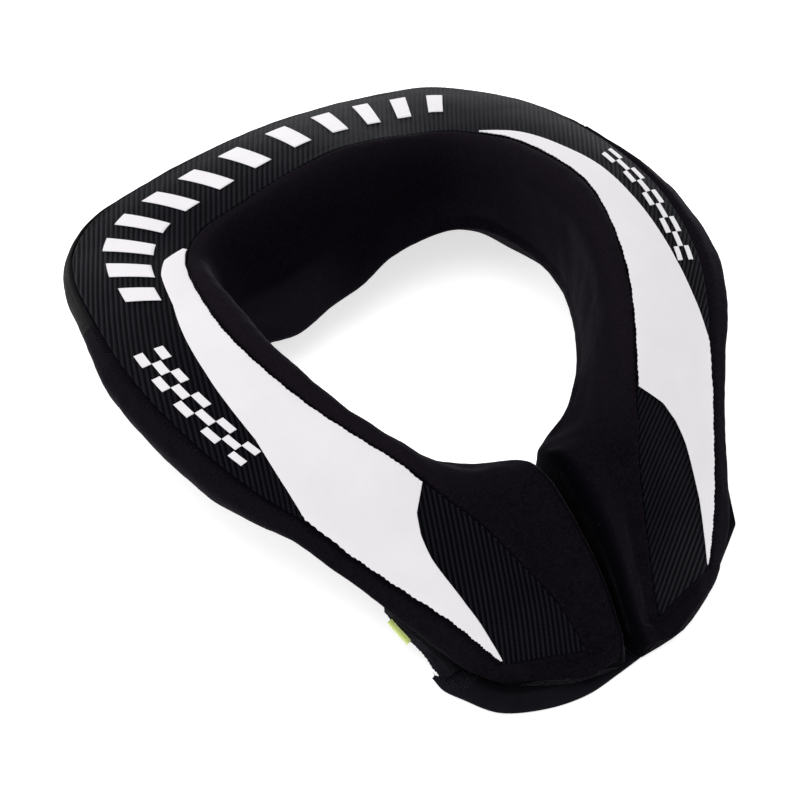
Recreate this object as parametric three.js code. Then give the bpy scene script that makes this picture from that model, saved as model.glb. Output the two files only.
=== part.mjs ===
// Soft horseshoe neck collar for motocross, in millimetres, +Z up.
// The wearer's front is -Y, where the two lobes meet at a slit; the back of the neck is +Y.
// The part stands on its closure strap at the front and on its foam at the back, at Z = 0,
// with the origin under the middle of its bounding box.
//
// Every soft piece is a loft through ROWS. A row is one cross-section of the collar. It starts at the
// lip (the innermost line round the neck, and the top of the slit's edge on the front lobes), crosses
// the crest (the inner edge of the ribbed top) and ends at the edge (the outer edge of the ribbed top).
// The rows run from the back centre to the tip of one lobe and are mirrored for the other side.
import * as THREE from 'three';

// ---- driving sizes
const GAP = 0.35;            // clearance between neighbouring pieces
const PANEL = 1.6;           // ribbed panel, thickness
const FILM = 0.6;            // smooth white swoosh, thickness
const BAND = 1.4;            // rear wall fabric, thickness
const STRAP = 2.6;           // closure strap, hook and loop together
const CROWN = 3.2;           // how far the ribbed top bulges over a straight line
const FLOOR = -64.5;         // ground, below the front corner of the crest
const CENTRE_X = 1.58;       // middle of the bounding box from the slit
const CENTRE_Y = 80;         // and behind the front corner of the crest
const SOLE = FLOOR + STRAP + GAP;   // underside of the lobes, on the strap

// Cross-sections, right half. k = crest, e = edge, l = lip (x, y, z). wall = height of the outer wall,
// out = how far it bulges, lean = how much more it does so on the right than on the left. foot = height of the underside, fi / fo = where it starts and ends (fi in mm from
// the lip, fo as a fraction of crest to edge). rh, rw, rd = the fleece roll inside the crest: rise, width, and
// drop at that width. b = crease between the roll and the lip at fraction bf up from the lip; ao, bo, eo = bulge
// of the inner face below the crease, at it and above it, + towards the neck. uf, uz = the point under the
// lip: mm in and down. sy, sz = skew of the lip: the lower roll sits a little turned in its cover, further
// back and higher on the right.
const ROWS = [
  { row: 'back',        kx: 0,    ky: 166,   kz: 23,    ex: 0,     ey: 236,   ez: -19.5, lx: 0,    ly: 141, lz: -38,  wall: 22,   out: 5,    lean: 0,   foot: FLOOR, fi: 30,   fo: 0.66, rh: 0.8, rw: 7,    rd: 7,    bf: 0.3,  ao: 1.5, bo: -3.5, eo: -1.5, uf: 12,   uz: 12, sy: 0, sz: 0 },
  { row: 'back_1',      kx: 22,   ky: 168,   kz: 17.5,  ex: 34,    ey: 237.3, ez: -23.5, lx: 17,   ly: 141, lz: -36,  wall: 22,   out: 5,    lean: 0,   foot: FLOOR, fi: 33,   fo: 0.66, rh: 0.8, rw: 7,    rd: 7,    bf: 0.3,  ao: 1.5, bo: -3.5, eo: -1.5, uf: 13,   uz: 12, sy: 3, sz: 4 },
  { row: 'back_2',      kx: 42,   ky: 171,   kz: 8.5,   ex: 62,    ey: 237,   ez: -28.5, lx: 34,   ly: 139, lz: -35.5,wall: 22,   out: 5,    lean: 0,   foot: FLOOR, fi: 38,   fo: 0.66, rh: 0.8, rw: 7,    rd: 6,    bf: 0.32, ao: 1.5, bo: -3,   eo: -1.5, uf: 14,   uz: 12, sy: 5, sz: 7.5 },
  { row: 'back_corner', kx: 61,   ky: 172,   kz: 1,     ex: 86,    ey: 232.5, ez: -31,   lx: 49,   ly: 137, lz: -33.5,wall: 22,   out: 5,    lean: 0,   foot: FLOOR, fi: 38,   fo: 0.64, rh: 1,   rw: 9,    rd: 5,    bf: 0.34, ao: 1.5, bo: -2,   eo: -1.5, uf: 14,   uz: 12, sy: 4, sz: 6.5 },
  { row: 'corner_1',    kx: 73.5, ky: 162,   kz: 1.5,   ex: 104,   ey: 218,   ez: -30,   lx: 59.5, ly: 133, lz: -32.5,wall: 22,   out: 5,    lean: 0,   foot: FLOOR, fi: 36,   fo: 0.6,  rh: 1.5, rw: 12,   rd: 4,    bf: 0.36, ao: 1.5, bo: -1,   eo: -1,   uf: 13.5, uz: 12, sy: 2, sz: 4.5 },
  { row: 'corner_2',    kx: 81,   ky: 146,   kz: 7,     ex: 115.5, ey: 193,   ez: -22,   lx: 66.5, ly: 124, lz: -30,  wall: 20,   out: 5.2,  lean: 0.2, foot: FLOOR, fi: 31,   fo: 0.52, rh: 3.2, rw: 16,   rd: 2,    bf: 0.36, ao: 1,   bo: 0,    eo: -0.5, uf: 13,   uz: 12, sy: 0, sz: 0 },
  { row: 'side_1',      kx: 85.8, ky: 124,   kz: 13,    ex: 122,   ey: 162,   ez: -12.5, lx: 70,   ly: 108, lz: -29,  wall: 18.5, out: 6,    lean: 0.5, foot: -58,   fi: 25,   fo: 0.38, rh: 3.4, rw: 17,   rd: 1.5,  bf: 0.36, ao: 0.5, bo: 0.5,  eo: 0,    uf: 12,   uz: 12, sy: 0, sz: 0 },
  { row: 'side_2',      kx: 88,   ky: 99,    kz: 17.5,  ex: 126.4, ey: 127,   ez: -6,    lx: 69,   ly: 86,  lz: -27,  wall: 21,   out: 8.5,  lean: 1,   foot: -50,   fi: 20,   fo: 0.3,  rh: 3.4, rw: 16,   rd: 2,    bf: 0.36, ao: 0.5, bo: 0.5,  eo: 0,    uf: 10,   uz: 10, sy: 0, sz: 0 },
  { row: 'side_3',      kx: 84.5, ky: 75,    kz: 17,    ex: 126,   ey: 92,    ez: -2,    lx: 62,   ly: 66,  lz: -25,  wall: 23,   out: 9.5,  lean: 2,   foot: -46,   fi: 17,   fo: 0.28, rh: 2.6, rw: 14,   rd: 2.4,  bf: 0.36, ao: 0.5, bo: 0.5,  eo: 0,    uf: 8,    uz: 9,  sy: 0, sz: 0 },
  { row: 'side_4',      kx: 77,   ky: 50,    kz: 14,    ex: 119.5, ey: 57,    ez: -2.5,  lx: 52,   ly: 47,  lz: -23,  wall: 23,   out: 9.5,  lean: 3.5, foot: -45,   fi: 14,   fo: 0.3,  rh: 1.8, rw: 12,   rd: 2.4,  bf: 0.36, ao: 0.3, bo: 0.3,  eo: 0.2,  uf: 5,    uz: 8,  sy: 0, sz: 0 },
  { row: 'side_5',      kx: 67,   ky: 28.5,  kz: 10,    ex: 109.5, ey: 32.5,  ez: -7.5,  lx: 40,   ly: 30,  lz: -21,  wall: 17,   out: 8.5,  lean: 2.5, foot: -45,   fi: 12,   fo: 0.36, rh: 1.2, rw: 10,   rd: 2,    bf: 0.38, ao: 0,   bo: 0,    eo: 0.3,  uf: 3,    uz: 7,  sy: 0, sz: 0 },
  { row: 'front_1',     kx: 57,   ky: 10.5,  kz: 5.5,   ex: 98,    ey: 13,    ez: -12.8, lx: 27,   ly: 18,  lz: -21,  wall: 12.5, out: 7.3,  lean: 1.3, foot: -47,   fi: 9,    fo: 0.4,  rh: 1,   rw: 9,    rd: 2,    bf: 0.4,  ao: 0,   bo: -1,   eo: 0,    uf: 2,    uz: 7,  sy: 0, sz: 0 },
  { row: 'front_2',     kx: 50.8, ky: 0,     kz: 0.3,   ex: 89.5,  ey: -2.5,  ez: -20,   lx: 13,   ly: 10,  lz: -20.5,wall: 10.8, out: 6,    lean: 0,   foot: -50,   fi: 5,    fo: 0.44, rh: 0.8, rw: 9,    rd: 1.5,  bf: 0.42, ao: 0,   bo: -1,   eo: 0,    uf: 0.5,  uz: 7,  sy: 0, sz: 0 },
  { row: 'lobe_1',      kx: 45,   ky: -10.5, kz: -4.5,  ex: 83.3,  ey: -12.7, ez: -24.5, lx: 5.2,  ly: 0,   lz: -13,  wall: 11,   out: 6,    lean: 0,   foot: -55,   fi: 0,    fo: 0.5,  rh: 0.8, rw: 9,    rd: 0.5,  bf: 0.44, ao: 1.2, bo: 1.6,  eo: 1,    uf: -1.8, uz: 8,  sy: 0, sz: 0 },
  { row: 'lobe_2',      kx: 38.1, ky: -22.3, kz: -10,   ex: 76.3,  ey: -24.3, ez: -29,   lx: 5.4,  ly: -16, lz: -3.5, wall: 13,   out: 6.5,  lean: 0,   foot: SOLE,  fi: -3,   fo: 0.56, rh: 0.8, rw: 9,    rd: -0.8, bf: 0.44, ao: 2.5, bo: 3,    eo: 1.4,  uf: -3,   uz: 8,  sy: 0, sz: 0 },
  { row: 'lobe_3',      kx: 29.6, ky: -40.2, kz: -21.5, ex: 64.3,  ey: -43.3, ez: -36.5, lx: 4.4,  ly: -38, lz: -9,   wall: 16,   out: 7.5,  lean: 0,   foot: SOLE,  fi: -3,   fo: 0.74, rh: 0.8, rw: 8,    rd: -1.5, bf: 0.44, ao: 2.5, bo: 2.5,  eo: 1.2,  uf: -2.8, uz: 8,  sy: 0, sz: 0 },
  { row: 'lobe_4',      kx: 21.8, ky: -58.6, kz: -34,   ex: 56,    ey: -54.7, ez: -46,   lx: 3.9,  ly: -58, lz: -22,  wall: 12.5, out: 8.5,  lean: 0,   foot: SOLE,  fi: -2.6, fo: 0.9,  rh: 0.6, rw: 6,    rd: -1.5, bf: 0.44, ao: 1.5, bo: 1.5,  eo: 0.8,  uf: -2.2, uz: 8,  sy: 0, sz: 0 },
  { row: 'lobe_end',    kx: 17.2, ky: -73.6, kz: -50.6, ex: 50.6,  ey: -61.4, ez: -52.6, lx: 3.4,  ly: -74, lz: -42,  wall: 8.4,  out: 8.5,  lean: 0,   foot: SOLE,  fi: -1.8, fo: 1,    rh: 0.4, rw: 4,    rd: -1,   bf: 0.44, ao: 1,   bo: 1,    eo: 0.5,  uf: -1.6, uz: 7,  sy: 0, sz: 0 },
];
// The rounded tip past the ribbed panel: rows that only shrink and sink. t = how far the row before moves on.
const TIP = [
  { row: 'tip_1', forward: 3.4, sink: 1.6, wall: 7.0, out: 8.0 },
  { row: 'tip_2', forward: 6.6, sink: 4.6, wall: 4.6, out: 6.0 },
  { row: 'tip_3', forward: 8.0, sink: 7.2, wall: 2.4, out: 3.4 },
];
const COLUMNS = Object.keys(ROWS[0]).filter((name) => name !== 'row');
const last = ROWS[ROWS.length - 1];
for (const t of TIP) {
  const lipZ = Math.max(last.lz - t.sink * 2.0, SOLE + 3.6);
  ROWS.push({ ...last, row: t.row, ky: last.ky - t.forward, kz: Math.max(last.kz - t.sink, SOLE + 3.4), ey: last.ey - t.forward * 0.8, ez: Math.max(last.ez - t.sink, SOLE + 3.0), ex: last.ex - t.forward * 0.5, ly: last.ly - t.forward * 0.9, lz: lipZ, wall: t.wall, out: t.out, uz: Math.min(last.uz, (lipZ - SOLE) * 0.5) });
}
const PANEL_END = ROWS.findIndex((r) => r.row === 'lobe_end');
const SEAM = 6.25;           // row where the side fleece meets the rear wall fabric

// White swooshes: the part of the ribbed top between two fractions of crest to edge, by row, right and left.
const FILM_ROWS = [
  { at: 3.95, inner: 0.015, right: 0.03,  left: 0.05 },
  { at: 4.6,  inner: 0.02,  right: 0.09,  left: 0.19 },
  { at: 5.2,  inner: 0.02,  right: 0.16,  left: 0.25 },
  { at: 6.2,  inner: 0.02,  right: 0.26,  left: 0.29 },
  { at: 7.0,  inner: 0.02,  right: 0.36,  left: 0.37 },
  { at: 7.8,  inner: 0.02,  right: 0.45,  left: 0.45 },
  { at: 9.2,  inner: 0.02,  right: 0.64,  left: 0.62 },
  { at: 10.2, inner: 0.02,  right: 0.84,  left: 0.82 },
  { at: 10.9, inner: 0.02,  right: 0.975, left: 0.975 },
  { at: 12.0, inner: 0.03,  right: 0.975, left: 0.975 },
  { at: 12.7, inner: 0.32,  right: 0.975, left: 0.975 },
  { at: 13.3, inner: 0.47,  right: 0.975, left: 0.975 },
  { at: 14.0, inner: 0.60,  right: 0.975, left: 0.975 },
  { at: 15.0, inner: 0.76,  right: 0.975, left: 0.975 },
  { at: 16.0, inner: 0.87,  right: 0.975, left: 0.975 },
  { at: 16.8, inner: 0.95,  right: 0.975, left: 0.975 },
];

// Closure strap: a flat curved band. o = outer edge, i = inner edge, from the left free end to the right corner.
const STRAP_ROWS = [
  { ox: -74.3, oy: -47.4, ix: -42, iy: -47 },
  { ox: -73.3, oy: -53.9,   ix: -38, iy: -48.5 },
  { ox: -68.8,   oy: -61.9,   ix: -33, iy: -49.5 },
  { ox: -59.8,   oy: -73.4, ix: -28, iy: -50 },
  { ox: -41.8,   oy: -80.4, ix: -20, iy: -50 },
  { ox: -23.8,   oy: -82.4, ix: -10, iy: -48.5 },
  { ox: -8.3,  oy: -80.5, ix: 2,   iy: -46 },
  { ox: 13.2,    oy: -76.7, ix: 18,  iy: -41 },
  { ox: 36.2,    oy: -69.1, ix: 36,  iy: -34.5 },
  { ox: 52.2,    oy: -61.9,   ix: 52,  iy: -28 },
  { ox: 66.6,  oy: -50.9,   ix: 72,  iy: -20 },
  { ox: 78.7,  oy: -40.9,   ix: 93,  iy: -10 },
];

// Strip under the edge of the left lobe: u = upper edge, d = lower edge, from the back to the strap.
const PATCH_ROWS = [
  { ux: -84,   uy: -23.8, uz: -37.2, dx: -83.4, dy: -22.8, dz: -39.6 },
  { ux: -82.2, uy: -26.8, uz: -39.2, dx: -81.4, dy: -25.2, dz: -43.8 },
  { ux: -78.9, uy: -32,   uz: -42.6, dx: -79.2, dy: -30,   dz: -48.2 },
  { ux: -75.6, uy: -35.9, uz: -46.2, dx: -77,   dy: -33.8, dz: -51.6 },
  { ux: -72,   uy: -40.4, uz: -51,   dx: -74.6, dy: -38.4, dz: -55.2 },
  { ux: -68.5, uy: -45.8, uz: -56,   dx: -73,   dy: -45,   dz: -59.9 },
];
const PATCH = 1.6;           // thickness of that strip
const TAB = { x: -80, y: -30.8, z: -46.2, length: 12.5, out: 2.8, thick: 1.8 };

// ---- interpolation along the rows, from the left tip (-) over the back (0) to the right tip (+)
const N = ROWS.length - 1;
const FLIP = new Set(['kx', 'ex', 'lx', 'sy', 'sz', 'lean']);
function rowAt(i) {
  const side = i < 0 ? -1 : 1;
  const r = ROWS[Math.min(Math.abs(i), N)];
  const out = {};
  for (const name of COLUMNS) out[name] = FLIP.has(name) ? side * r[name] : r[name];
  return out;
}
function spline(p0, p1, p2, p3, t) {
  return 0.5 * (2 * p1 + (p2 - p0) * t + (2 * p0 - 5 * p1 + 4 * p2 - p3) * t * t + (3 * p1 - p0 - 3 * p2 + p3) * t * t * t);
}
function section(u) {
  const i = Math.max(-N, Math.min(N - 1, Math.floor(u)));
  const t = u - i;
  const rows = [i - 1, i, i + 1, i + 2].map((k) => rowAt(Math.max(-N, Math.min(N, k))));
  const s = {};
  for (const name of COLUMNS) s[name] = spline(rows[0][name], rows[1][name], rows[2][name], rows[3][name], t);
  s.ly += s.sy;
  s.lz += s.sz;
  s.out += s.lean;
  s.a = Math.hypot(s.kx - s.lx, s.ky - s.ly);
  s.b = Math.hypot(s.ex - s.kx, s.ey - s.ky);
  s.u = u;
  return s;
}
// A point of a section: d = distance in plan from the lip over the crest to the edge and past it.
function at(s, d, z) {
  const inner = new THREE.Vector2((s.kx - s.lx) / s.a, (s.ky - s.ly) / s.a);
  const outer = new THREE.Vector2((s.ex - s.kx) / s.b, (s.ey - s.ky) / s.b);
  return d < s.a
    ? new THREE.Vector3(s.lx + inner.x * d, s.ly + inner.y * d, z)
    : new THREE.Vector3(s.kx + outer.x * (d - s.a), s.ky + outer.y * (d - s.a), z);
}
// Outer surface of the ribbed top at fraction t, and its normal in the section's plane.
function topZ(s, t) {
  const crown = CROWN * Math.min(1, Math.max(0, (PANEL_END + 0.5 - Math.abs(s.u)) / 2));
  return s.kz + (s.ez - s.kz) * t + crown * 4 * t * (1 - t);
}
function topPoint(s, t, lift) {
  const slope = (topZ(s, t + 0.01) - topZ(s, t - 0.01)) / (0.02 * s.b);
  const c = 1 / Math.hypot(1, slope);
  return at(s, s.a + t * s.b - slope * c * lift, topZ(s, t) + c * lift);
}
// Outer wall below the edge at fraction w of its height (0 top, 1 bottom), moved out by lift.
function wallPoint(s, w, lift) {
  return at(s, s.a + s.b + Math.sin(Math.PI * (0.04 + 0.88 * w)) * s.out + lift, s.ez - w * s.wall);
}

// ---- closed outline of the foam body at one section
function bodyOutline(s) {
  const inPanel = Math.abs(s.u) <= PANEL_END + 0.02 ? 1 : 0;
  const rec = inPanel * (PANEL + GAP + 0.15);
  const inBand = Math.abs(s.u) < SEAM ? BAND + GAP + 0.8 : 0;
  const { a, b } = s;
  const bottom = s.ez - s.wall;
  const foOut = a + b * s.fo;
  const mid = THREE.MathUtils.lerp(foOut, a + b, 0.4);
  // inner face: a line from the lip to the side of the roll, bulged by o square to it
  const rx = a - s.rw, rz = s.kz - s.rd - s.lz, len = Math.hypot(rx, rz);
  const face = (f, o) => at(s, rx * f - (rz / len) * o, s.lz + rz * f + (rx / len) * o);
  return [
    face(0.5 * s.bf, s.ao), face(s.bf, s.bo), face(0.5 + 0.5 * s.bf, s.eo), face(1, 0),
    at(s, a - 0.5 * s.rw, s.kz + s.rh), at(s, a - 0.4, s.kz + 0.3),
    topPoint(s, 0.012, -rec), topPoint(s, 0.25, -rec), topPoint(s, 0.5, -rec), topPoint(s, 0.75, -rec), topPoint(s, 0.988, -rec),
    wallPoint(s, 0.04, -inBand), wallPoint(s, 0.2, -inBand), wallPoint(s, 0.45, -inBand), wallPoint(s, 0.75, -inBand), wallPoint(s, 1.0, -inBand),
    at(s, mid, THREE.MathUtils.lerp(bottom, s.foot, 0.45)),
    at(s, foOut, s.foot),
    at(s, (foOut + Math.max(s.fi, 0)) / 2, s.foot),
    at(s, s.fi, s.foot),
    at(s, s.uf, s.lz - s.uz),
    at(s, 0, s.lz),
  ];
}

// ---- mesh makers
function solid(positions, faces) {
  const g = new THREE.BufferGeometry();
  g.setAttribute('position', new THREE.Float32BufferAttribute(positions.flatMap((p) => [p.x, p.y, p.z]), 3));
  let volume = 0;
  for (const [i, j, k] of faces) volume += positions[i].dot(new THREE.Vector3().crossVectors(positions[j], positions[k]));
  g.setIndex(faces.flatMap(([i, j, k]) => (volume > 0 ? [i, j, k] : [i, k, j])));
  g.computeVertexNormals();
  return g;
}
// Loft through closed rings of equal length, with the two ends closed on their centres.
function loft(rings) {
  const m = rings[0].length, pts = rings.flat(), faces = [];
  for (let r = 0; r + 1 < rings.length; r++) {
    for (let j = 0; j < m; j++) {
      const p = r * m + j, q = r * m + ((j + 1) % m);
      faces.push([p, q, q + m], [p, q + m, p + m]);
    }
  }
  for (const [r, flip] of [[0, true], [rings.length - 1, false]]) {
    const c = new THREE.Vector3();
    for (const p of rings[r]) c.addScaledVector(p, 1 / m);
    const ci = pts.push(c) - 1;
    for (let j = 0; j < m; j++) {
      const p = r * m + j, q = r * m + ((j + 1) % m);
      faces.push(flip ? [q, p, ci] : [p, q, ci]);
    }
  }
  return solid(pts, faces);
}
// Thin plate between two equal grids of points (outer and inner face).
function plate(outer, inner) {
  const rings = outer.map((row, i) => [...row, ...inner[i].slice().reverse()]);
  const m = rings[0].length, half = m / 2, pts = rings.flat(), faces = [];
  for (let r = 0; r + 1 < rings.length; r++) {
    for (let j = 0; j < m; j++) {
      const p = r * m + j, q = r * m + ((j + 1) % m);
      faces.push([p, q, q + m], [p, q + m, p + m]);
    }
  }
  for (const [r, flip] of [[0, true], [rings.length - 1, false]]) {
    for (let j = 0; j + 1 < half; j++) {
      const p = r * m + j, q = p + 1, p2 = r * m + (m - 1 - j), q2 = p2 - 1;
      faces.push(...(flip ? [[q, p, p2], [q, p2, q2]] : [[p, q, q2], [p, q2, p2]]));
    }
  }
  return solid(pts, faces);
}
const steps = (from, to, n) => Array.from({ length: n + 1 }, (_, i) => from + ((to - from) * i) / n);

// Every piece is sampled at the same places along the rows, so neighbours keep their gap between rows too.
const STATIONS = [...steps(0, 12, 18), ...steps(12.5, PANEL_END, 9)];
const between = (from, to) => [from, ...[...STATIONS.map((u) => -u), ...STATIONS].sort((p, q) => p - q).filter((u, i, all) => u > from + 0.06 && u < to - 0.06 && (i === 0 || u > all[i - 1])), to];

function bodyGeometry() {
  const tip = steps(PANEL_END + 0.5, N, 5);
  const us = [...tip.map((u) => -u).reverse(), -PANEL_END - 0.06, ...between(-PANEL_END, PANEL_END), PANEL_END + 0.06, ...tip];
  // two stations at each seam make the step down to the rear wall fabric
  for (const u of [-SEAM, SEAM]) us.push(u - 0.02, u + 0.02);
  us.sort((p, q) => p - q);
  return loft(us.map((u) => {
    const s = section(u), lowest = Math.max(s.foot, Math.abs(u) > 11 ? SOLE : FLOOR), points = bodyOutline(s);
    return new THREE.CatmullRomCurve3(points, true, 'centripetal').getPoints(points.length * 2).slice(0, -1)
      .map((p) => new THREE.Vector3(p.x, p.y, Math.max(p.z, lowest)));
  }));
}
function panelGeometry() {
  const ts = [0.014, 0.2, 0.4, 0.6, 0.8, 0.986];
  const grid = (lift) => between(-PANEL_END, PANEL_END).map((u) => ts.map((t) => topPoint(section(u), t, lift)));
  return plate(grid(0), grid(-PANEL));
}
function filmGeometry(side) {
  const grid = (lift) => between(FILM_ROWS[0].at, FILM_ROWS[FILM_ROWS.length - 1].at).map((u) => {
    const i = Math.min(FILM_ROWS.length - 2, FILM_ROWS.findLastIndex((r) => r.at <= u));
    const p = FILM_ROWS[i], q = FILM_ROWS[i + 1], f = (u - p.at) / (q.at - p.at);
    const outer = side > 0 ? 'right' : 'left';
    const t0 = THREE.MathUtils.lerp(p.inner, q.inner, f), t1 = THREE.MathUtils.lerp(p[outer], q[outer], f);
    return steps(t0, t1, 4).map((t) => topPoint(section(side * u), t, lift));
  });
  return plate(grid(GAP + 0.15 + FILM), grid(GAP + 0.15));
}
function bandGeometry() {
  const ws = [0.06, 0.2, 0.5, 0.82, 0.97];
  const grid = (lift) => between(-SEAM + 0.07, SEAM - 0.07).map((u) => ws.map((w) => wallPoint(section(u), w, lift)));
  return plate(grid(0), grid(-BAND));
}
function strapGeometry() {
  const curve = (x, y) => new THREE.CatmullRomCurve3(STRAP_ROWS.map((r) => new THREE.Vector3(r[x], r[y], 0)), false, 'centripetal');
  const outer = curve('ox', 'oy').getPoints(28), inner = curve('ix', 'iy').getPoints(28);
  const grid = (z) => outer.map((o, i) => steps(0, 1, 3).map((f) => new THREE.Vector3().lerpVectors(o, inner[i], f).setZ(z)));
  return plate(grid(FLOOR + STRAP), grid(FLOOR));
}
function patchGeometry() {
  const inwards = new THREE.Vector3(0.74, 0.42, -0.52);
  const grid = (lift) => PATCH_ROWS.map((r) => {
    const u = new THREE.Vector3(r.ux, r.uy, r.uz), d = new THREE.Vector3(r.dx, r.dy, r.dz);
    return steps(0, 1, 3).map((f) => new THREE.Vector3().lerpVectors(u, d, f).addScaledVector(inwards, lift));
  });
  return plate(grid(0), grid(PATCH));
}
function tabGeometry() {
  const shape = new THREE.Shape();
  const r = TAB.thick / 2;
  shape.moveTo(0, -r).lineTo(TAB.out - r, -r).absarc(TAB.out - r, 0, r, -Math.PI / 2, Math.PI / 2, false).lineTo(0, r).closePath();
  return new THREE.ExtrudeGeometry(shape, { depth: TAB.length, bevelEnabled: false, curveSegments: 4 });
}

// ---- the object
const paint = (color, roughness) => new THREE.MeshStandardMaterial({ color, roughness, metalness: 0 });
const fleece = paint(0x141218, 1.0), rib = paint(0x101215, 0.8), smooth = paint(0xe8e6ea, 0.5);
const rearCloth = paint(0x1a1c1a, 0.85), strapCloth = paint(0x17171c, 0.8), lime = paint(0xb9df62, 0.7);

const collar = new THREE.Group();
collar.position.set(-CENTRE_X, -CENTRE_Y, -FLOOR);
function add(name, geometry, material) {
  const mesh = new THREE.Mesh(geometry, material);
  mesh.name = name;
  collar.add(mesh);
  return mesh;
}
add('collar_body', bodyGeometry(), fleece);
add('top_panel', panelGeometry(), rib);
add('rear_wall_band', bandGeometry(), rearCloth);
add('film_panel_left', filmGeometry(-1), smooth);
add('film_panel_right', filmGeometry(1), smooth);
add('closure_strap', strapGeometry(), strapCloth);
add('loop_patch', patchGeometry(), strapCloth);
const tab = add('side_tab', tabGeometry(), lime);
// the tab's length runs along the strip, and it sticks out across it
const along = new THREE.Vector3(0.33, -0.74, -0.59).normalize();
const outwards = new THREE.Vector3(-0.87, -0.5, 0).addScaledVector(along, -new THREE.Vector3(-0.87, -0.5, 0).dot(along)).normalize();
tab.quaternion.setFromRotationMatrix(new THREE.Matrix4().makeBasis(outwards, new THREE.Vector3().crossVectors(along, outwards), along));
tab.position.set(TAB.x, TAB.y, TAB.z).addScaledVector(along, -TAB.length / 2).addScaledVector(outwards, GAP);

export default collar;
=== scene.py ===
import bpy
import math
import numpy as np
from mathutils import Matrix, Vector


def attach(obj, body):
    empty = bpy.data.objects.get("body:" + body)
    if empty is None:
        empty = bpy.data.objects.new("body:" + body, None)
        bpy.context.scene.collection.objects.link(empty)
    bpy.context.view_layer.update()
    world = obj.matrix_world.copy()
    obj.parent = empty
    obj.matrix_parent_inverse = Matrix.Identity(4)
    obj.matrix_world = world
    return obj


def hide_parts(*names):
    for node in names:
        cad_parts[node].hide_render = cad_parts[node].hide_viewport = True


# Soft horseshoe neck collar, looks. The numbers are the collar's own sizes in millimetres: a row is one
# cross-section from the lip over the crest to the outer edge, from the back centre to the tip of a lobe.
# Every piece is built densely over the same rows and turned to metres at the end.
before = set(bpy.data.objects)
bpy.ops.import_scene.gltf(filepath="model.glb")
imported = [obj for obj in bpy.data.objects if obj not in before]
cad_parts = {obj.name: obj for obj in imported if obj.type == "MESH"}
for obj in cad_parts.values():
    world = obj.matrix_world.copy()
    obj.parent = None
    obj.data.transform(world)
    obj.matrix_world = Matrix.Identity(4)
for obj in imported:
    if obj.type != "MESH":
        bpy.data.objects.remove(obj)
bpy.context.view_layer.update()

GAP, PANEL, FILM, BAND, STRAP, CROWN, FLOOR = 0.35, 1.6, 0.6, 1.4, 2.6, 3.2, -64.5
CENTRE = np.array([1.58, 80.0, FLOOR])
SOLE = FLOOR + STRAP + GAP
SEAM, PATCH = 6.25, 1.6
STITCH = 2.5                 # length of one stitch along the borders
RIB_DEPTH = 0.42
WORDS = {"FLOOR": FLOOR, "SOLE": SOLE}


def table(text):
    lines = [line.split() for line in text.strip().splitlines()]
    return [{name: (cell if name == "row" else WORDS[cell] if cell in WORDS else float(cell)) for name, cell in zip(lines[0], line)} for line in lines[1:]]


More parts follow.
